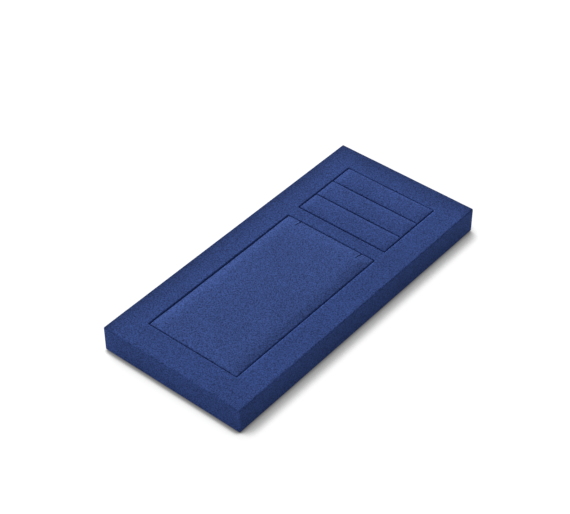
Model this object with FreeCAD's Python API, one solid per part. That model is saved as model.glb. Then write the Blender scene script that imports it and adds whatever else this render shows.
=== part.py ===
import FreeCAD
import Part
import math
import os

# Jewellery tray: a fabric-wrapped board frame with two wells, and a padded insert that lifts out of each.
# The large insert has two short slits at its rear edge. The small one is padded bars with slots between.
# Millimetres. The origin is the middle of the underside, +Y points to the slotted insert and +Z up.

# The wrapped tray, and its borders as they show round the wells
tray_length = 250.0
tray_width = 116.0
tray_height = 20.0
side_border = 20.5
front_border = 21.0
cross_border = 11.0
rear_border = 19.0
ring_well_length = 57.0

# Boards and the fabric wrapped over them
wrap_thickness = 0.6
base_thickness = 3.0
board_edge_radius = 1.2
hem_width = 10.0

# Sheet on the underside, which covers the hem
lining_thickness = 0.6
lining_inset = 2.5
lining_corner_radius = 3.0

# Wells and the sheet on each floor
well_corner_radius = 0.8
floor_thickness = 0.5
floor_clearance = 0.3

# Both inserts
pad_gap = 0.4
pad_recess = 0.2
pad_edge_radius = 0.9

# Large insert: a foam top over a hollow box
pad_crown_height = 0.8
pad_crown_width = 12.0
foam_thickness = 4.5
deck_thickness = 2.0
wall_thickness = 2.0
slit_length = 6.5
slit_width = 0.5
slit_margin = 10.6

# Slotted insert: padded bars on a card
bar_names = ("front", "middle", "rear")
bar_crown_height = 0.5
bar_end_crown_width = 5.0
slot_width = 0.5
card_thickness = 1.5

# Shares: upright corners against edge rounding, and fabric edges against the fabric's thickness
corner_share = 1.25
rim_share = 2.5
hem_edge_share = 1.5

# How far a cut runs past what it cuts, and how near two heights are when they count as one
overrun = 1.0
same_height = 0.001

# Heights from the underside up
hem_bottom = lining_thickness
base_bottom = hem_bottom + wrap_thickness
base_top = base_bottom + base_thickness
board_top = tray_height - wrap_thickness
pad_bottom = base_top + floor_thickness
pad_edge_top = tray_height - pad_recess

# Places across and along the tray
half_width = tray_width / 2
half_length = tray_length / 2
well_half_width = half_width - side_border
ring_well_rear = half_length - rear_border
ring_well_front = ring_well_rear - ring_well_length
necklace_well_rear = ring_well_front - cross_border
necklace_well_front = front_border - half_length
wells = {
    "necklace": (necklace_well_front, necklace_well_rear),
    "ring": (ring_well_front, ring_well_rear),
}

# Insert sizes that follow the wells
pad_half_width = well_half_width - pad_gap
fabric_edge_radius = pad_edge_radius + wrap_thickness


def block(x_low, x_high, y_low, y_high, z_low, z_high):
    corner = FreeCAD.Vector(x_low, y_low, z_low)
    return Part.makeBox(x_high - x_low, y_high - y_low, z_high - z_low, corner)


def centred_block(half_x, y_low, y_high, z_low, z_high):
    return block(-half_x, half_x, y_low, y_high, z_low, z_high)


def upright_edges(shape):
    return [edge for edge in shape.Edges if edge.BoundBox.ZLength > same_height]


def level_edges(shape, height):
    level = []
    for edge in shape.Edges:
        box = edge.BoundBox
        if abs(box.ZMin - height) < same_height and abs(box.ZMax - height) < same_height:
            level.append(edge)
    return level


def round_cornered_block(half_x, y_low, y_high, z_low, z_high, corner_radius):
    plain = centred_block(half_x, y_low, y_high, z_low, z_high)
    return plain.makeFillet(corner_radius, upright_edges(plain))


def eased_board_block(z_low, inset, edge_radius):
    # The tray's outline taken in by an inset, with rounded upright corners and top edges
    corner_radius = edge_radius + board_edge_radius * (corner_share - 1)
    y_reach = half_length - inset
    top = tray_height - inset
    body = round_cornered_block(half_width - inset, -y_reach, y_reach, z_low, top, corner_radius)
    return body.makeFillet(edge_radius, level_edges(body, top))


def arc_edge(place, centre, radius, start_angle, end_angle):
    middle_angle = (start_angle + end_angle) / 2
    points = []
    for angle in (start_angle, middle_angle, end_angle):
        across = centre[0] + radius * math.cos(angle)
        height = centre[1] + radius * math.sin(angle)
        points.append(place(across, height))
    return Part.Arc(*points).toShape()


def line_edge(start, end):
    return Part.LineSegment(start, end).toShape()


def crowned_outline(place, middle, half_span, z_low, z_high, crown_height, crown_width, edge_radius):
    # Straight sides, a rounded edge, an arc that rises over the crown's width, and a level middle between
    crown_radius = (crown_width ** 2 + crown_height ** 2) / (2 * crown_height)
    level_half = half_span - crown_width
    crown_low = z_high - crown_radius
    edge_reach = crown_width - edge_radius
    edge_height = crown_low + math.sqrt((crown_radius - edge_radius) ** 2 - edge_reach ** 2)
    lean = math.atan2(edge_height - crown_low, edge_reach)
    upright = math.pi / 2
    right_edge = (middle + half_span - edge_radius, edge_height)
    left_edge = (middle - half_span + edge_radius, edge_height)
    right_low = place(middle + half_span, z_low)
    left_low = place(middle - half_span, z_low)
    edges = [
        line_edge(right_low, place(middle + half_span, edge_height)),
        arc_edge(place, right_edge, edge_radius, 0, lean),
        arc_edge(place, (middle + level_half, crown_low), crown_radius, lean, upright),
    ]
    if level_half > same_height:
        edges.append(line_edge(place(middle + level_half, z_high), place(middle - level_half, z_high)))
    edges += [
        arc_edge(place, (middle - level_half, crown_low), crown_radius, upright, math.pi - lean),
        arc_edge(place, left_edge, edge_radius, math.pi - lean, math.pi),
        line_edge(place(middle - half_span, edge_height), left_low),
        line_edge(left_low, right_low),
    ]
    return Part.Face(Part.Wire(edges))


def crowned_block(half_x, y_low, y_high, z_low, z_high, crown_height, crown_widths, edge_radius):
    # A padded block: the common part of a crowned bar each way and an upright prism with rounded corners
    y_middle = (y_low + y_high) / 2
    half_y = (y_high - y_low) / 2
    width_crown, length_crown = crown_widths

    def on_front(x, z):
        return FreeCAD.Vector(x, y_low, z)

    def on_left(y, z):
        return FreeCAD.Vector(-half_x, y, z)

    across = crowned_outline(on_front, 0, half_x, z_low, z_high, crown_height, width_crown, edge_radius)
    along = crowned_outline(on_left, y_middle, half_y, z_low, z_high, crown_height, length_crown, edge_radius)
    across_bar = across.extrude(FreeCAD.Vector(0, y_high - y_low, 0))
    along_bar = along.extrude(FreeCAD.Vector(2 * half_x, 0, 0))
    corners = round_cornered_block(half_x, y_low, y_high, z_low, z_high, edge_radius * corner_share)
    return across_bar.common(along_bar).common(corners)


def underside_lining():
    sheet_half_width = half_width - lining_inset
    sheet_half_length = half_length - lining_inset
    sheet = round_cornered_block(
        sheet_half_width, -sheet_half_length, sheet_half_length, 0, hem_bottom, lining_corner_radius
    )
    return sheet.fuse(hem_opening(hem_bottom, base_bottom)).removeSplitter()


def hem_opening(z_low, z_high):
    reach = half_length - hem_width
    return centred_block(half_width - hem_width, -reach, reach, z_low, z_high)


def boards():
    # Base board and rails, all cut from one eased block so that the fabric lies evenly over them
    eased = eased_board_block(base_bottom, wrap_thickness, board_edge_radius)
    side_face = well_half_width + wrap_thickness
    across = {
        "front_rail": (-half_length, necklace_well_front - wrap_thickness),
        "cross_rail": (necklace_well_rear + wrap_thickness, ring_well_front - wrap_thickness),
        "rear_rail": (ring_well_rear + wrap_thickness, half_length),
    }
    spaces = {
        "base_board": centred_block(half_width, -half_length, half_length, base_bottom, base_top),
        "left_rail": block(-half_width, -side_face, -half_length, half_length, base_top, board_top),
        "right_rail": block(side_face, half_width, -half_length, half_length, base_top, board_top),
    }
    for name, (y_low, y_high) in across.items():
        spaces[name] = centred_block(side_face, y_low, y_high, base_top, board_top)
    return {name: eased.common(space) for name, space in spaces.items()}


def frame_wrap(board_solids):
    # One piece of fabric over the frame, down the wells' walls and turned under the base as a hem
    outside = eased_board_block(hem_bottom, 0, board_edge_radius + wrap_thickness)
    outside = outside.makeFillet(hem_edge_share * wrap_thickness, level_edges(outside, hem_bottom))
    for y_low, y_high in wells.values():
        well = round_cornered_block(
            well_half_width, y_low, y_high, base_top, tray_height + overrun, well_corner_radius
        )
        outside = outside.cut(well)
    rims = []
    for edge in level_edges(outside, tray_height):
        box = edge.BoundBox
        between_sides = max(box.XMax, -box.XMin) < well_half_width + side_border / 2
        behind_front = box.YMin > necklace_well_front - front_border / 2
        before_rear = box.YMax < ring_well_rear + rear_border / 2
        if between_sides and behind_front and before_rear:
            rims.append(edge)
    fabric = outside.makeFillet(rim_share * wrap_thickness, rims)
    for solid in board_solids.values():
        fabric = fabric.cut(solid)
    return fabric.cut(hem_opening(hem_bottom - overrun, base_bottom))


def well_floor(y_low, y_high):
    return round_cornered_block(
        well_half_width - floor_clearance, y_low + floor_clearance, y_high - floor_clearance,
        base_top, pad_bottom, well_corner_radius
    )


def necklace_pad():
    # Foam on a deck, held up on four walls over a hollow, all in one cover that is turned under the walls
    front = necklace_well_front + pad_gap
    rear = necklace_well_rear - pad_gap
    top = pad_edge_top + pad_crown_height
    crown_widths = (pad_crown_width, pad_crown_width)
    lip_top = pad_bottom + wrap_thickness
    deck_top = top - wrap_thickness - foam_thickness
    deck_bottom = deck_top - deck_thickness
    outside = crowned_block(
        pad_half_width, front, rear, pad_bottom, top, pad_crown_height, crown_widths, fabric_edge_radius
    )
    core_half = pad_half_width - wrap_thickness
    core_front = front + wrap_thickness
    core_rear = rear - wrap_thickness
    core = crowned_block(
        core_half, core_front, core_rear, lip_top, top - wrap_thickness, pad_crown_height, crown_widths,
        pad_edge_radius
    )
    inside = core_half - wall_thickness
    front_face = core_front + wall_thickness
    rear_face = core_rear - wall_thickness
    spaces = {
        "left_wall": block(-core_half, -inside, core_front, core_rear, lip_top, deck_bottom),
        "right_wall": block(inside, core_half, core_front, core_rear, lip_top, deck_bottom),
        "front_wall": centred_block(inside, core_front, front_face, lip_top, deck_bottom),
        "rear_wall": centred_block(inside, rear_face, core_rear, lip_top, deck_bottom),
        "deck": centred_block(core_half, core_front, core_rear, deck_bottom, deck_top),
        "foam": centred_block(core_half, core_front, core_rear, deck_top, top),
    }
    pieces = {name: core.common(space) for name, space in spaces.items()}
    opening = centred_block(inside, front_face, rear_face, pad_bottom - overrun, lip_top)
    pieces["cover"] = outside.cut(core).cut(opening)
    for side in (-1, 1):
        slit_middle = side * (pad_half_width - slit_margin)
        slit = block(
            slit_middle - slit_width / 2, slit_middle + slit_width / 2, rear - slit_length, rear + overrun,
            deck_bottom, top + overrun
        )
        for name in ("deck", "foam", "cover"):
            pieces[name] = pieces[name].cut(slit)
    return {f"necklace_pad_{name}": solid for name, solid in pieces.items()}


def ring_pad():
    # Foam bars in their own covers, side by side on a card, with a slot between neighbours
    front = ring_well_front + pad_gap
    rear = ring_well_rear - pad_gap
    top = pad_edge_top + bar_crown_height
    card_top = pad_bottom + card_thickness
    count = len(bar_names)
    bar_depth = (rear - front - slot_width * (count - 1)) / count
    pieces = {
        "ring_pad_card": round_cornered_block(
            pad_half_width, front, rear, pad_bottom, card_top, fabric_edge_radius * corner_share
        )
    }
    for number, name in enumerate(bar_names):
        bar_front = front + number * (bar_depth + slot_width)
        bar_rear = bar_front + bar_depth
        outside = crowned_block(
            pad_half_width, bar_front, bar_rear, card_top, top, bar_crown_height,
            (bar_end_crown_width, bar_depth / 2), fabric_edge_radius
        )
        core = crowned_block(
            pad_half_width - wrap_thickness, bar_front + wrap_thickness, bar_rear - wrap_thickness,
            card_top, top - wrap_thickness, bar_crown_height,
            (bar_end_crown_width, bar_depth / 2 - wrap_thickness), pad_edge_radius
        )
        pieces[f"ring_bar_core_{name}"] = core
        pieces[f"ring_bar_cover_{name}"] = outside.cut(core)
    return pieces


board_solids = boards()
nodes = {"underside_lining": underside_lining()}
nodes.update(board_solids)
nodes["frame_wrap"] = frame_wrap(board_solids)
for well_name, well_span in wells.items():
    nodes[f"{well_name}_well_floor"] = well_floor(*well_span)
nodes.update(necklace_pad())
nodes.update(ring_pad())

os.makedirs("parts", exist_ok=True)
for node_name, node_shape in nodes.items():
    node_shape.exportStep(f"parts/{node_name}.step")
    print(node_name, len(node_shape.Solids), "solid", node_shape.isValid(), round(node_shape.Volume), "mm3")
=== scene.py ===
import math

import bpy
from mathutils import Matrix, Vector, noise


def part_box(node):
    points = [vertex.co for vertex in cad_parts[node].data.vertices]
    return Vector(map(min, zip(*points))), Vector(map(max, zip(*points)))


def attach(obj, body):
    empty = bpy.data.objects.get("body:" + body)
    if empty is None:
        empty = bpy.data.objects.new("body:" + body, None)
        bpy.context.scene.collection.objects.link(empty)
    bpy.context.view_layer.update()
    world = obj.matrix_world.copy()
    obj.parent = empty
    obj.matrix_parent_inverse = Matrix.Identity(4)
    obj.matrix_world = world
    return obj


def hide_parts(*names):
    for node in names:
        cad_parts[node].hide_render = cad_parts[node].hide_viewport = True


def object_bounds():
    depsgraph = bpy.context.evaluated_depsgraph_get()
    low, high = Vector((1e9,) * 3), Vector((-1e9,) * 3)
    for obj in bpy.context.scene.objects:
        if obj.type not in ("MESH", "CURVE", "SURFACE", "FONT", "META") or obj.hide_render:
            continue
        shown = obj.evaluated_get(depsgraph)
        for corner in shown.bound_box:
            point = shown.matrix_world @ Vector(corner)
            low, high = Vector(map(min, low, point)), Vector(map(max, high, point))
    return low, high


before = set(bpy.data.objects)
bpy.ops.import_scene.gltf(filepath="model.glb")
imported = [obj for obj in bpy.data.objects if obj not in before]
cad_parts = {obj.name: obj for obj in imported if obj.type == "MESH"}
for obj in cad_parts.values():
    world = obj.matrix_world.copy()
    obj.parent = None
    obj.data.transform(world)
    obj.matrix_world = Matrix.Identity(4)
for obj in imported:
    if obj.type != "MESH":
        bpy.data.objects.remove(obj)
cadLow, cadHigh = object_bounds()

print("frame loaded with", len(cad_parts), "nodes")

# shared by every fabric piece, in metres
cloth = {
    "thickness": 0.0005,
    "gridStep": 0.003,
    "roundSteps": 6,  # faces across a rounded edge
    "holdWidth": 0.0006,  # narrow faces beside a rounding keep the flats flat
    "ripple": 0.00004,  # how far the fabric strays from flat
    "rippleSize": 0.014,
    "rippleWays": (1.0, 0.7, 1.3),  # where a seed moves the ripple to
    "paintedToneDepth": 0.001,  # how far the painted edge tones reach down the walls
    "paintedToneBlend": 3,  # odd power: where two painted edge tones meet, the stronger one shows
}
tiny = 1e-6
sharedDigits = 7  # points that agree to this many decimals are one


# mesh helpers

def makePiece(name, faces, body, material):
    # faces are lists of points, and equal points are shared
    index = {}
    polygons = []
    for face in faces:
        ids = []
        for point in face:
            key = tuple(round(value, sharedDigits) for value in point)
            number = index.setdefault(key, len(index))
            if number not in ids:
                ids.append(number)
        if len(ids) > 2:
            polygons.append(ids)
    mesh = bpy.data.meshes.new(name)
    mesh.from_pydata(list(index), [], polygons)
    mesh.validate()
    mesh.polygons.foreach_set("use_smooth", [True] * len(mesh.polygons))
    mesh.materials.append(material)
    piece = bpy.data.objects.new(name, mesh)
    bpy.context.scene.collection.objects.link(piece)
    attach(piece, body)
    return piece


def spaced(stops, step):
    # the stops in order, with even spaces of about one step between them
    stops = sorted(stops)
    values = [stops[0]]
    for low, high in zip(stops, stops[1:]):
        count = max(1, round((high - low) / step))
        values += [low + (high - low) * (part + 1) / count for part in range(count)]
    return values


def heldEnds(low, high, radius):
    # stops where the roundings start, with a narrow strip inside each
    hold = cloth["holdWidth"]
    return [low + radius, low + radius + hold, high - radius - hold, high - radius]


def grid(xs, ys, height, skip=lambda x, y: False):
    faces = []
    for x0, x1 in zip(xs, xs[1:]):
        for y0, y1 in zip(ys, ys[1:]):
            if not skip((x0 + x1) / 2, (y0 + y1) / 2):
                corners = ((x0, y0), (x1, y0), (x1, y1), (x0, y1))
                faces.append([(x, y, height(x, y)) for x, y in corners])
    return faces


def rimLoop(xs, ys):
    # a rectangle's rim as (base, outward way), counter-clockwise from the front left corner
    corners = [(xs[0], ys[0], 180), (xs[-1], ys[0], 270), (xs[-1], ys[-1], 0), (xs[0], ys[-1], 90)]
    sides = [
        ([(x, ys[0]) for x in xs[1:-1]], (0, -1)),
        ([(xs[-1], y) for y in ys[1:-1]], (1, 0)),
        ([(x, ys[-1]) for x in reversed(xs[1:-1])], (0, 1)),
        ([(xs[0], y) for y in reversed(ys[1:-1])], (-1, 0)),
    ]
    steps = cloth["roundSteps"]
    loop = []
    for (x, y, start), (points, way) in zip(corners, sides):
        for part in range(steps + 1):
            angle = math.radians(start + 90 * part / steps)
            loop.append(((x, y), (math.cos(angle), math.sin(angle))))
        loop += [(point, way) for point in points]
    return loop


def rimAt(loop, reach, heights):
    # the loop pushed out by reach, or drawn in to mitred corners where reach is negative
    xs = [base[0] for base, _ in loop]
    ys = [base[1] for base, _ in loop]
    points = []
    for number, (base, out) in enumerate(loop):
        z = heights[number] if isinstance(heights, list) else heights
        if reach >= 0:
            points.append((base[0] + out[0] * reach, base[1] + out[1] * reach, z))
        else:
            x = min(max(base[0], min(xs) - reach), max(xs) + reach)
            y = min(max(base[1], min(ys) - reach), max(ys) + reach)
            points.append((x, y, z))
    return points


def skin(upper, lower, inward=False, leaveOut=()):
    quads = []
    for number in range(len(upper)):
        if number in leaveOut:
            continue
        after = (number + 1) % len(upper)
        quad = [upper[number], lower[number], lower[after], upper[after]]
        quads.append(quad[::-1] if inward else quad)
    return quads


def quarter():
    # (sine, 1 - cosine) pairs of a quarter round, without its start
    steps = cloth["roundSteps"]
    angles = [math.pi / 2 * (part + 1) / steps for part in range(steps)]
    return [(math.sin(angle), 1 - math.cos(angle)) for angle in angles]


def rippled(piece, look):
    # fabric is never quite flat
    shift = Vector([look["rippleSeed"] * way for way in cloth["rippleWays"]])
    for vertex in piece.data.vertices:
        lift = noise.noise(vertex.co / cloth["rippleSize"] + shift)
        vertex.co += vertex.normal * lift * cloth["ripple"] * look["rippleShare"]


def paintEdgeLightAndShade(piece, box, paintedEdgeTones):
    # painted light and shade: tones lighter or darker towards a piece's edges, fading down its walls
    low, high = box
    blend = cloth["paintedToneBlend"]
    tones = piece.data.attributes.new("wearAndPaintedLightTone", "FLOAT", "POINT")
    for vertex in piece.data.vertices:
        x, y, z = vertex.co
        inside = {"left": x - low.x, "right": high.x - x, "front": y - low.y, "rear": high.y - y}
        total = 0.0
        for side, strength, reach, power in paintedEdgeTones:
            near = min(1.0, max(0.0, 1 - inside[side] / reach))
            total += (strength * near ** power) ** blend
        tone = math.copysign(abs(total) ** (1 / blend), total)
        fade = min(1.0, max(0.0, 1 - (high.z - z) / cloth["paintedToneDepth"]))
        tones.data[vertex.index].value = tone * fade


def thickened(piece, thickness):
    solid = piece.modifiers.new("thickness", "SOLIDIFY")
    solid.thickness = thickness
    solid.offset = -1


# materials

def nodeMaker(material):
    material.use_nodes = True
    tree = material.node_tree
    tree.nodes.clear()

    def add(kind, links=None, **values):
        node = tree.nodes.new("ShaderNode" + kind)
        for key, value in values.items():
            setattr(node, key, value)
        for socket, source in (links or {}).items():
            if hasattr(source, "is_output"):
                tree.links.new(source, node.inputs[socket])
            else:
                node.inputs[socket].default_value = source
        return node

    return add


def noiseNode(add, place, size, detail, roughness=0.55):
    links = {"Vector": place, "Scale": 1 / size, "Detail": detail, "Roughness": roughness}
    return add("TexNoise", links).outputs["Fac"]


def weigh(add, parts, start=0.0):
    # start plus the sum of (output, weight) pairs
    total = start
    for output, weight in parts:
        total = add("Math", {0: output, 1: weight, 2: total}, operation="MULTIPLY_ADD").outputs[0]
    return total


def ramp(add, fac, ends, colours):
    # from the dark colour at the first end to the light one at the second
    node = add("ValToRGB", {"Fac": fac})
    for element, position, colour in zip(node.color_ramp.elements, ends, colours):
        element.position = position
        element.color = (*colour, 1)
    return node.outputs["Color"]


microfibreLook = {
    "colour": (0.0325, 0.061, 0.199),
    "darkest": 0.43,  # of the colour, between the tufts
    "lightest": 1.57,
    "ends": (0.35, 0.65),  # noise values at the darkest and the lightest
    "tuft": 0.0009,  # sizes of the nap's marks
    "tuftDetail": 2.0,
    "tuftRoughness": 0.75,
    "brushed": 0.03,
    "brushedDetail": 2.0,
    "brushedTone": 0.25,
    "tilt": (0.6, 0.45),  # keeps the marks' grid off the flat faces
    "bump": 0.4,
    "bumpDepth": 0.00012,
    "roughness": 0.95,
    "specular": 0.08,
    "sheen": 0.06,
    "sheenRoughness": 0.4,
    "sheenTint": (0.4, 0.55, 1.0, 1.0),
}
fabrics = {
    # where its marks start, how far they turn, and its tint; one fabric, tinted lighter on the pads and
    # darker on the frame as painted sheen
    "frameMicrofibre": ((0.13, 0.07, 0.0337), 0.2, (0.94, 0.97, 1.0)),
    "padMicrofibre": ((0.31, 0.17, 0.05), 1.4, (1.10, 1.09, 1.075)),
    "barMicrofibre": ((0.52, 0.23, 0.11), 0.1, (1.0, 1.01, 1.035)),
    "wellMicrofibre": ((0.73, 0.41, 0.19), 0.8, (1.0, 1.0, 1.0)),
}


def microfibre(name):
    look = microfibreLook
    offset, angle, tint = fabrics[name]
    material = bpy.data.materials.new(name)
    add = nodeMaker(material)
    place = add("TexCoord").outputs["Object"]
    turns = (*look["tilt"], angle)
    turned = add("Mapping", {"Vector": place, "Location": offset, "Rotation": turns}).outputs[0]
    tone = noiseNode(add, turned, look["tuft"], look["tuftDetail"], look["tuftRoughness"])
    # the tint makes copies of one fabric lighter or darker: painted sheen
    colour = [channel * share for channel, share in zip(look["colour"], tint)]
    dark = [channel * look["darkest"] for channel in colour]
    light = [channel * look["lightest"] for channel in colour]
    nap = ramp(add, tone, look["ends"], (dark, light))
    # broad brushed areas, and the painted light and shade, with a little rim wear, that a piece carries in
    # its mesh
    brushed = noiseNode(add, turned, look["brushed"], look["brushedDetail"])
    paintedTone = add("Attribute", attribute_name="wearAndPaintedLightTone").outputs["Fac"]
    value = weigh(add, [(brushed, look["brushedTone"]), (paintedTone, 1.0)], 1 - look["brushedTone"] / 2)
    toned = add("HueSaturation", {"Color": nap, "Value": value}).outputs[0]
    bump = add("Bump", {"Strength": look["bump"], "Distance": look["bumpDepth"], "Height": tone})
    shader = add("BsdfPrincipled", {
        "Base Color": toned,
        "Roughness": look["roughness"],
        "Specular IOR Level": look["specular"],
        "Sheen Weight": look["sheen"],
        "Sheen Roughness": look["sheenRoughness"],
        "Sheen Tint": look["sheenTint"],
        "Normal": bump.outputs[0],
    })
    add("OutputMaterial", {"Surface": shader.outputs[0]})
    return material


grain = {
    "ends": (0.3, 0.7),  # noise values at the dark and the light colour
    "details": (3.0, 2.0),  # of the coarse and the fine marks
    "weights": (0.55, 0.45),
    "bump": 0.4,
    "roughness": 0.85,
    "specular": 0.2,
}
grainLooks = {
    "fibreboard": {
        "colours": ((0.24, 0.145, 0.075), (0.46, 0.31, 0.18)),
        "sizes": (0.004, 0.0006),  # coarse and fine marks
        "bumpDepth": 0.0001,
        "stretch": (1, 0.3, 1),  # longer along the tray
    },
    "greyboard": {
        "colours": ((0.2, 0.195, 0.18), (0.4, 0.39, 0.37)),
        "sizes": (0.002, 0.0004),
        "bumpDepth": 0.00008,
        "stretch": (1, 1, 1),
    },
    "foam": {
        "colours": ((0.6, 0.57, 0.48), (0.8, 0.78, 0.7)),
        "sizes": (0.003, 0.0007),
        "bumpDepth": 0.0003,
        "stretch": (1, 1, 1),
    },
    "liningFelt": {
        "colours": ((0.012, 0.02, 0.06), (0.03, 0.048, 0.125)),
        "sizes": (0.003, 0.0005),
        "bumpDepth": 0.0002,
        "stretch": (1, 1, 1),
    },
}


def plainGrain(name):
    # matt board, card, foam and felt: grain at two sizes
    look = grainLooks[name]
    material = bpy.data.materials.new(name)
    add = nodeMaker(material)
    place = add("TexCoord").outputs["Object"]
    drawn = add("Mapping", {"Vector": place, "Scale": look["stretch"]}).outputs[0]
    marks = [noiseNode(add, drawn, size, detail) for size, detail in zip(look["sizes"], grain["details"])]
    tone = weigh(add, zip(marks, grain["weights"]))
    bump = add("Bump", {"Strength": grain["bump"], "Distance": look["bumpDepth"], "Height": marks[1]})
    shader = add("BsdfPrincipled", {
        "Base Color": ramp(add, tone, grain["ends"], look["colours"]),
        "Roughness": grain["roughness"],
        "Specular IOR Level": grain["specular"],
        "Normal": bump.outputs[0],
    })
    add("OutputMaterial", {"Surface": shader.outputs[0]})
    return material


frameFabric = microfibre("frameMicrofibre")
padFabric = microfibre("padMicrofibre")
barFabric = microfibre("barMicrofibre")
wellFabric = microfibre("wellMicrofibre")
fibreboard = plainGrain("fibreboard")
greyboard = plainGrain("greyboard")
foam = plainGrain("foam")
felt = plainGrain("liningFelt")
print("materials made")


# wrapped frame

wrap = {
    "edgeRadius": 0.0010,
    "rimRadius": 0.0007,
    "hemRadius": 0.0006,
    "hemWidth": 0.010,
    "wellCorner": 0.0005,
    "largeGaps": (0.0009, 0.0007, 0.0004, 0.0004),  # round each insert: left, right, front, rear
    "smallGaps": (0.0009, 0.0007, 0.0008, 0.0004),
    # painted shade: the top is darker towards its left and rear outer edges
    "paintedEdgeTones": [("left", -0.44, 0.018, 2.0), ("rear", -0.38, 0.020, 1.5)],  # side, tone, reach, power
    # how much lighter each side of a well's rim is: a little rubbed wear all round, and a painted
    # highlight on the right rims, which face the key light
    "rimLightAndWear": {"left": 0.10, "right": 0.52, "front": 0.10, "rear": 0.10},
    "rimLightWidth": 0.0016,
    "rippleShare": 1.0,
    "rippleSeed": 3.0,
    "cutShare": 0.85,  # of the cloth is left when the windows and corners are cut out
}
barNames = ("front", "middle", "rear")


def wellOf(padNodes, gaps):
    # the clear well round an insert: (left, right, front, rear)
    corners = [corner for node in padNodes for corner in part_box(node)]
    xs = [corner.x for corner in corners]
    ys = [corner.y for corner in corners]
    return min(xs) - gaps[0], max(xs) + gaps[1], min(ys) - gaps[2], max(ys) + gaps[3]


wells = [
    wellOf(["necklace_pad_cover"], wrap["largeGaps"]),
    wellOf([f"ring_bar_cover_{name}" for name in barNames], wrap["smallGaps"]),
]


def outsideFaces(xs, ys, low, high):
    # rounded edge, wall, rounded hem edge and hem
    edge, hem, hold = wrap["edgeRadius"], wrap["hemRadius"], cloth["holdWidth"]
    rows = [(0, high.z)]
    rows += [(edge * s, high.z - edge * c) for s, c in quarter()]
    wallStops = [high.z - edge, high.z - edge - hold, low.z + hem + hold, low.z + hem]
    rows += [(edge, z) for z in reversed(spaced(wallStops, cloth["gridStep"])[:-1])]
    rows += [(edge - hem * c, low.z + hem - hem * s) for s, c in quarter()]
    hemStops = [edge - hem, edge - hem - hold, edge - wrap["hemWidth"]]
    rows += [(reach, low.z) for reach in reversed(spaced(hemStops, cloth["gridStep"])[:-1])]
    loop = rimLoop(xs, ys)
    rims = [rimAt(loop, reach, z) for reach, z in rows]
    return [quad for upper, lower in zip(rims, rims[1:]) for quad in skin(upper, lower)]


def wellFaces(xs, ys, top, floor):
    # rounded rim and walls down to the base, with the flat top's corners round the rim
    corner, rim, hold = wrap["wellCorner"], wrap["rimRadius"], cloth["holdWidth"]
    rows = [(corner + rim, top)]
    rows += [(corner + rim - rim * s, top - rim * c) for s, c in quarter()]
    wallStops = [floor, top - rim - hold, top - rim]
    rows += [(corner, z) for z in reversed(spaced(wallStops, cloth["gridStep"])[:-1])]
    loop = rimLoop(xs, ys)
    rims = [rimAt(loop, reach, z) for reach, z in rows]
    faces = [quad for upper, lower in zip(rims, rims[1:]) for quad in skin(upper, lower, inward=True)]
    for x, y in ((xs[0], ys[0]), (xs[-1], ys[0]), (xs[-1], ys[-1]), (xs[0], ys[-1])):
        arc = [point for point, (base, _) in zip(rims[0], loop) if base == (x, y)]
        outX = max((point[0] for point in arc), key=lambda value: abs(value - x))
        outY = max((point[1] for point in arc), key=lambda value: abs(value - y))
        faces.append([(outX, outY, top)] + arc[::-1])
    return faces


def paintRimLightAndWear(piece, top):
    # lightens the wells' rims and fades down their walls: rubbed wear, and a painted highlight that is
    # strongest on the right rims
    tones = piece.data.attributes["wearAndPaintedLightTone"].data
    for vertex in piece.data.vertices:
        x, y, z = vertex.co
        fade = max(0.0, 1 - (top - z) / cloth["paintedToneDepth"])
        for left, right, front, rear in wells:
            outside = {"left": left - x, "right": x - right, "front": front - y, "rear": y - rear}
            side = max(outside, key=outside.get)
            near = max(0.0, 1 - max(0.0, outside[side]) / wrap["rimLightWidth"])
            tones[vertex.index].value += wrap["rimLightAndWear"][side] * near * fade


def frameWrap():
    low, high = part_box("frame_wrap")
    edge, rim, corner = wrap["edgeRadius"], wrap["rimRadius"], wrap["wellCorner"]
    hold, step = cloth["holdWidth"], cloth["gridStep"]
    left, right = wells[0][0], wells[0][1]

    def rimStops(start, end):
        return [start - rim - hold, start - rim, start + corner, end - corner, end + rim, end + rim + hold]

    xStops = heldEnds(low.x, high.x, edge) + rimStops(left, right)
    yStops = heldEnds(low.y, high.y, edge)
    for _, _, front, rear in wells:
        yStops += rimStops(front, rear)
    xs = spaced(xStops, step)
    ys = spaced(yStops, step)

    def overWell(x, y):
        return any(w[0] - rim < x < w[1] + rim and w[2] - rim < y < w[3] + rim for w in wells)

    faces = grid(xs, ys, lambda x, y: high.z, overWell)
    faces += outsideFaces(xs, ys, low, high)
    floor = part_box("base_board")[1].z
    for _, _, front, rear in wells:
        inXs = [x for x in xs if left + corner - tiny < x < right - corner + tiny]
        inYs = [y for y in ys if front + corner - tiny < y < rear - corner + tiny]
        faces += wellFaces(inXs, inYs, high.z, floor)
    piece = makePiece("frameWrap", faces, "tray", frameFabric)
    paintEdgeLightAndShade(piece, (low, high), wrap["paintedEdgeTones"])
    paintRimLightAndWear(piece, high.z)
    rippled(piece, wrap)
    thickened(piece, cloth["thickness"])
    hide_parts("frame_wrap")


frameWrap()
print("frame wrapped")


# padded pieces

inflation = {
    "scale": 10.0,  # simulated large, because the solver is poor at millimetres
    "frames": 20,
    "quality": 6,
    "mass": 0.3,
    "stretch": 30,  # stiffness of the fabric
    "shear": 15,
    "bend": 2,
    "heldShare": 0.3,  # of the rounded edge's height, which stays put with the walls
}


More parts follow.
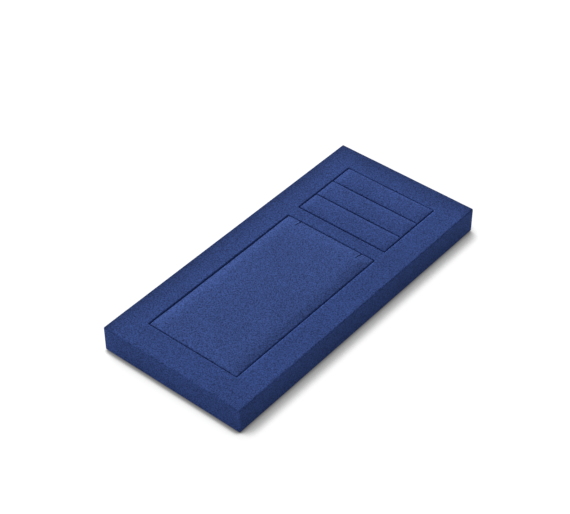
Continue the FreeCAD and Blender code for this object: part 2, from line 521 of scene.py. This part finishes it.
def puff(piece, held, look):
    # inflates the fabric over its filling: held points stay, and the rest keeps a share of its movement
    scale, frames = inflation["scale"], inflation["frames"]
    mesh = piece.data
    start = [vertex.co.copy() for vertex in mesh.vertices]
    mesh.transform(Matrix.Scale(scale, 4))
    group = piece.vertex_groups.new(name="held")
    group.add(held, 1.0, "REPLACE")
    modifier = piece.modifiers.new("puff", "CLOTH")
    settings = modifier.settings
    settings.quality = inflation["quality"]
    settings.mass = inflation["mass"]
    settings.tension_stiffness = inflation["stretch"]
    settings.compression_stiffness = inflation["stretch"]
    settings.shear_stiffness = inflation["shear"]
    settings.bending_stiffness = inflation["bend"]
    settings.use_pressure = True
    settings.uniform_pressure_force = look["pressure"]
    settings.vertex_group_mass = "held"
    settings.effector_weights.gravity = 0
    modifier.collision_settings.use_collision = False
    modifier.point_cache.frame_end = frames
    for number in range(1, frames + 1):
        bpy.context.scene.frame_set(number)
    graph = bpy.context.evaluated_depsgraph_get()
    moved = [vertex.co / scale for vertex in piece.evaluated_get(graph).data.vertices]
    piece.modifiers.remove(modifier)
    piece.vertex_groups.remove(group)
    bpy.context.scene.frame_set(1)
    shifts = [after - before for before, after in zip(start, moved)]
    share = look["rise"] / max(shift.z for shift in shifts)
    for vertex, before, shift in zip(mesh.vertices, start, shifts):
        vertex.co = before + shift * share
    mesh.update()


def crownDrop(x, y, box, look):
    # how far a padded top falls towards its edges, level along the rim and smooth across the corners
    low, high = box
    full = 1.0
    for place, start, end, width in zip((x, y), low, high, look["crownWidths"]):
        inside = min(place - start, end - place)
        full *= 1 - max(0.0, 1 - inside / width) ** look["crownPower"]
    return look["crown"] * (1 - full)


def paddedFaces(box, look, slits=(), lip=0.0, closed=False):
    # a crowned top, rounded edges and walls; also returns the height where the walls start
    low, high = box
    radius, hold = look["edgeRadius"], cloth["holdWidth"]
    xStops = heldEnds(low.x, high.x, radius)
    yStops = heldEnds(low.y, high.y, radius)
    for slit in slits:
        half, lipWidth = slit["width"] / 2, slit["lip"]
        xStops += [slit["x"] + side * reach for side in (-1, 1) for reach in (half, half + lipWidth)]
    if slits:
        yStops += [slits[0]["end"], slits[0]["end"] - slits[0]["lip"]]
    xs = spaced(xStops, look["step"])
    ys = spaced(yStops, look["step"])

    def height(x, y):
        z = high.z + look["swell"] - look["rise"] - crownDrop(x, y, box, look)
        for slit in slits:
            beyond = max(abs(x - slit["x"]) - slit["width"] / 2, slit["end"] - y, 0.0)
            z -= slit["dip"] * max(0.0, 1 - beyond / slit["lip"]) ** 2
        return z

    def inSlit(x, y):
        return any(abs(x - slit["x"]) < slit["width"] / 2 and y > slit["end"] for slit in slits)

    faces = grid(xs, ys, height, inSlit)
    loop = rimLoop(xs, ys)
    heights = [height(*base) for base, _ in loop]
    cut = set()  # rim faces that the slits open
    for number, ((base, out), (after, _)) in enumerate(zip(loop, loop[1:])):
        if out == (0, 1) and inSlit((base[0] + after[0]) / 2, base[1] + radius):
            cut.add(number)
    above = rimAt(loop, 0, heights)
    for s, c in quarter():
        below = rimAt(loop, radius * s, [z - radius * c for z in heights])
        faces += skin(above, below, leaveOut=cut)
        above = below
    wallTop = min(heights) - radius
    slitFloor = slits[0]["floor"] if slits else wallTop - hold
    rows = spaced([low.z, slitFloor, wallTop - hold / 2], look["step"])[::-1]
    for z in rows:
        below = rimAt(loop, radius, z)
        faces += skin(above, below, leaveOut=cut if z >= slitFloor - tiny else ())
        above = below
    if lip:
        faces += skin(above, rimAt(loop, radius - lip, low.z))
    if closed:
        faces += skin(above, rimAt(loop, 0, low.z), leaveOut=cut)
        faces += [quad[::-1] for quad in grid(xs, ys, lambda x, y: low.z, inSlit)]
    for slit in slits:
        faces += slitWalls(slit, ys, height, radius, rows)
    return faces, wallTop


def slitWalls(slit, ys, height, radius, rows):
    # the fabric turned down inside a slit: two sides and the front end
    half, floor = slit["width"] / 2, slit["floor"]
    faces = []
    for side in (-1, 1):
        x = slit["x"] + side * half
        line = [(y, height(x, y)) for y in ys if y > slit["end"] - tiny]
        sides = [
            [(x, y0, z0), (x, y1, z1), (x, y1, floor), (x, y0, floor)]
            for (y0, z0), (y1, z1) in zip(line, line[1:])
        ]
        # the rear end takes in the rounded edge and the wall's rows
        y, z = line[-1]
        arc = [(x, y + radius * s, z - radius * c) for s, c in quarter()]
        wall = [(x, y + radius, row) for row in rows if row > floor - tiny]
        sides.append([(x, y, z)] + arc + wall + [(x, y, floor)])
        faces += [face if side < 0 else face[::-1] for face in sides]
    right, left = [(slit["x"] + side * half, slit["end"]) for side in (1, -1)]
    faces.append([(*right, height(*right)), (*left, height(*left)), (*left, floor), (*right, floor)])
    return faces


def drawnIn(piece, box, depths):
    # a padded piece's sides bow in between its corners
    low, high = box
    for vertex in piece.data.vertices:
        place = vertex.co
        # -1 to 1 across the piece and along it
        shares = [(2 * place[axis] - low[axis] - high[axis]) / (high[axis] - low[axis]) for axis in (0, 1)]
        for axis, depth in enumerate(depths):
            vertex.co[axis] -= depth * shares[axis] * max(0.0, 1 - shares[1 - axis] ** 2)


def coverPiece(name, node, look, body, material, slits=()):
    faces, wallTop = paddedFaces(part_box(node), look, slits, look["lip"])
    piece = makePiece(name, faces, body, material)
    drawnIn(piece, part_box(node), look["drawIn"])
    heldBelow = wallTop + look["edgeRadius"] * inflation["heldShare"]
    puff(piece, [vertex.index for vertex in piece.data.vertices if vertex.co.z < heldBelow], look)
    paintEdgeLightAndShade(piece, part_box(node), look["paintedEdgeTones"])
    rippled(piece, look)
    thickened(piece, cloth["thickness"])
    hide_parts(node)


def foamPiece(name, node, look, body, slits=()):
    faces, _ = paddedFaces(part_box(node), {**look, "rise": 0.0}, slits, closed=True)
    piece = makePiece(name, faces, body, foam)
    drawnIn(piece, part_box(node), look["drawIn"])
    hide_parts(node)


padLook = {
    "edgeRadius": 0.0008,
    "swell": 0.0009,  # the middle stands above the flat solid
    "crown": 0.0013,
    "crownPower": 3,
    "crownWidths": (0.011, 0.011),
    "drawIn": (0.0002, 0.0001),  # how far the sides and the ends bow in
    "paintedEdgeTones": [
        # painted light and shade: lighter on the left, rear and front edges and darker on the right, as
        # the key light falls on the crowned top; side, tone, reach, power
        ("left", 0.33, 0.015, 2.0),
        ("right", -0.18, 0.012, 1.2),
        ("rear", 0.16, 0.022, 1.5),
        ("front", 0.25, 0.010, 2.0),
    ],
    "rippleShare": 1.0,
    "rippleSeed": 11.0,
    "step": 0.0022,
    "pressure": 2.0,
    "rise": 0.0004,  # of the inflated middle
    "fill": 0.8,
    "lip": 0.0026,  # turned under the walls
}
slitLook = {
    "inset": 0.0106,  # from the pad's side
    "length": 0.0065,
    "width": 0.0006,
    "lip": 0.0012,
    "dip": 0.0003,
}


def necklacePad():
    low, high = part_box("necklace_pad_cover")
    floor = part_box("necklace_pad_deck")[1].z
    slits = []
    for x in (low.x + slitLook["inset"], high.x - slitLook["inset"]):
        slits.append({"x": x, "end": high.y - slitLook["length"], "floor": floor, **slitLook})
    coverPiece("necklacePadCover", "necklace_pad_cover", padLook, "necklace_pad", padFabric, slits)
    foamSlits = [{**slit, "width": slit["width"] + 2 * cloth["thickness"]} for slit in slits]
    foamPiece("necklacePadFoam", "necklace_pad_foam", padLook, "necklace_pad", foamSlits)


necklacePad()
print("large pad made")

barLook = {
    "edgeRadius": 0.0006,
    "swell": 0.0006,
    "crown": 0.0008,
    "crownPower": 3,
    "crownWidths": (0.007, 0.007),
    "drawIn": (0.0001, 0.0002),
    # painted highlights: the bars are lighter towards their left and rear edges; side, tone, reach, power
    "paintedEdgeTones": [("left", 0.14, 0.010, 1.5), ("rear", 0.20, 0.004, 1.0)],
    "rippleShare": 1.0,
    "rippleSeeds": (21.0, 26.0, 31.0),  # one for each bar
    "step": 0.0022,
    "pressure": 2.0,
    "rise": 0.0002,
    "fill": 0.8,
    "lip": 0.0,
}


def ringBars():
    for name, seed in zip(barNames, barLook["rippleSeeds"]):
        look = {**barLook, "rippleSeed": seed}
        coverPiece("ringBarCover_" + name, "ring_bar_cover_" + name, look, "ring_pad", barFabric)
        foamPiece("ringBarFoam_" + name, "ring_bar_core_" + name, look, "ring_pad")


ringBars()
print("small bars made")


# sheets: well floors and the underside lining

flatLay = {
    "step": 0.004,
    "cornerRadius": 0.0008,
    "thickness": 0.0005,
    "depth": 0.0,  # how far the middle sinks
    "start": 0.0,  # where it starts to sink, from the edge
    "softness": 1.0,
    "rippleShare": 0.5,
    "rippleSeed": 40.0,
}
liningLay = {
    **flatLay,
    "cornerRadius": 0.003,
    "depth": 0.0004,  # sinks inside the hem
    "start": 0.0085,
    "softness": 0.0008,
}


def laidSheet(name, node, material, faceUp, look):
    low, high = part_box(node)
    radius = look["cornerRadius"]
    xs = spaced([low.x + radius, high.x - radius], look["step"])
    ys = spaced([low.y + radius, high.y - radius], look["step"])
    z = high.z if faceUp else low.z

    def height(x, y):
        inside = min(x - low.x, high.x - x, y - low.y, high.y - y)
        return z + look["depth"] / (1 + math.exp(-(inside - look["start"]) / look["softness"]))

    faces = [quad if faceUp else quad[::-1] for quad in grid(xs, ys, height)]
    loop = rimLoop(xs, ys)
    inner = rimAt(loop, 0, [height(*base) for base, _ in loop])
    faces += skin(inner, rimAt(loop, radius, z), inward=not faceUp)
    piece = makePiece(name, faces, "tray", material)
    rippled(piece, look)
    thickened(piece, look["thickness"])
    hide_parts(node)


laidSheet("necklaceWellFloor", "necklace_well_floor", wellFabric, True, flatLay)
laidSheet("ringWellFloor", "ring_well_floor", wellFabric, True, flatLay)
laidSheet("undersideLining", "underside_lining", felt, False, liningLay)
print("sheets laid")

# boards and card keep their shapes and get their finish
for node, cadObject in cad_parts.items():
    if not cadObject.hide_render:
        cadObject.data.materials.clear()
        cadObject.data.materials.append(greyboard if node == "ring_pad_card" else fibreboard)
print("boards finished")


# camera, floor and light

camera = {
    "target": (-0.02564, 0.01932, 0.0),
    "distance": 1.108,
    "azimuth": 39.83,
    "elevation": 41.51,
    "roll": -0.2,
    "lens": 100.8,
    "sensor": 36,
    "nearest": 0.01,
}


def placeCamera():
    turn, tilt, roll = (math.radians(camera[key]) for key in ("azimuth", "elevation", "roll"))
    back = Vector((math.sin(turn) * math.cos(tilt), -math.cos(turn) * math.cos(tilt), math.sin(tilt)))
    right = Vector((math.cos(turn), math.sin(turn), 0))
    up = back.cross(right)
    across = right * math.cos(roll) + up * math.sin(roll)
    upward = up * math.cos(roll) - right * math.sin(roll)
    data = bpy.data.cameras.new("camera")
    data.lens = camera["lens"]
    data.sensor_width = camera["sensor"]
    data.clip_start = camera["nearest"]
    eye = bpy.data.objects.new("camera", data)
    place = Matrix((across, upward, back)).transposed().to_4x4()
    place.translation = Vector(camera["target"]) + back * camera["distance"]
    eye.matrix_world = place
    bpy.context.scene.collection.objects.link(eye)
    bpy.context.scene.camera = eye


studio = {
    "ambient": 0.26,
    "lights": [
        # name, direction to the lamp, distance, size, how bright it makes a white face turned to it
        ("keyLight", (-0.742, 0.411, 0.53), 3.0, 1.3, 1.15),
        ("frontFill", (0.2, -0.82, 0.5), 3.0, 2.0, 0.30),
    ],
    "floorWhite": 0.85,
    "floorShown": 0.1,  # how much of the lamps' shadows the floor shows
    "floorGlow": 0.97,
    "floorReach": 6.0,
    "floorDrop": 0.0001,  # below the object
    "contacts": [
        # soft shadows where the object stands: reach, lean, open share at the dark and light ends, darkest
        (0.0132, (-0.7, -0.1, 1.0), (0.335, 0.865), 0.28),
        (0.0043, (-0.2, 0.86, 1.0), (0.35, 0.855), 0.33),
    ],
    "contactSamples": 16,
}
white = (1, 1, 1, 1)


def seenDirectly(add):
    # 1 for camera, glossy and transmission rays
    path = add("LightPath")
    seen = path.outputs["Is Camera Ray"]
    for kind in ("Is Glossy Ray", "Is Transmission Ray"):
        seen = add("Math", {0: seen, 1: path.outputs[kind]}, operation="MAXIMUM").outputs[0]
    return seen


def lightStudio():
    middle = (cadLow + cadHigh) / 2
    for name, way, distance, size, strength in studio["lights"]:
        lamp = bpy.data.lights.new(name, "AREA")
        lamp.size = size
        lamp.energy = strength * math.pi ** 2 * distance ** 2  # the power for that brightness
        lampObject = bpy.data.objects.new(name, lamp)
        toLamp = Vector(way).normalized()
        lampObject.location = middle + toLamp * distance
        lampObject.rotation_euler = toLamp.to_track_quat("Z", "Y").to_euler()
        bpy.context.scene.collection.objects.link(lampObject)
    world = bpy.data.worlds.new("studio")
    bpy.context.scene.world = world
    add = nodeMaker(world)
    soft = add("Background", {"Color": white, "Strength": studio["ambient"]})
    shown = add("Background", {"Color": white, "Strength": 1.0})
    mixed = add("MixShader", {0: seenDirectly(add), 1: soft.outputs[0], 2: shown.outputs[0]})
    add("OutputWorld", {"Surface": mixed.outputs[0]})


def floorMaterial():
    material = bpy.data.materials.new("paleFloor")
    add = nodeMaker(material)
    plain = add("BsdfDiffuse", {"Color": (studio["floorWhite"],) * 3 + (1,)})
    shown = add("BsdfDiffuse", {"Color": (studio["floorShown"],) * 3 + (1,)})
    samples = studio["contactSamples"]
    shade = studio["floorGlow"]
    for reach, lean, (dark, light), darkest in studio["contacts"]:
        way = add("CombineXYZ", dict(enumerate(lean))).outputs[0]
        nearby = add("AmbientOcclusion", {"Distance": reach, "Normal": way}, samples=samples).outputs["AO"]
        ends = {"Value": nearby, "From Min": dark, "From Max": light, "To Min": darkest, "To Max": 1.0}
        part = add("MapRange", ends, interpolation_type="SMOOTHSTEP").outputs[0]
        shade = add("Math", {0: part, 1: shade}, operation="MULTIPLY").outputs[0]
    glow = add("Emission", {"Color": white, "Strength": shade})
    lit = add("AddShader", {0: shown.outputs[0], 1: glow.outputs[0]})
    mixed = add("MixShader", {0: seenDirectly(add), 1: plain.outputs[0], 2: lit.outputs[0]})
    add("OutputMaterial", {"Surface": mixed.outputs[0]})
    return material


def layFloor():
    reach = studio["floorReach"]
    z = cadLow.z - studio["floorDrop"]
    mesh = bpy.data.meshes.new("floor")
    corners = [(-reach, -reach, z), (reach, -reach, z), (reach, reach, z), (-reach, reach, z)]
    mesh.from_pydata(corners, [], [[0, 1, 2, 3]])
    mesh.materials.append(floorMaterial())
    floor = bpy.data.objects.new("floor", mesh)
    bpy.context.scene.collection.objects.link(floor)


placeCamera()
lightStudio()
layFloor()
bpy.context.scene.view_settings.view_transform = "Standard"
print("studio lit")
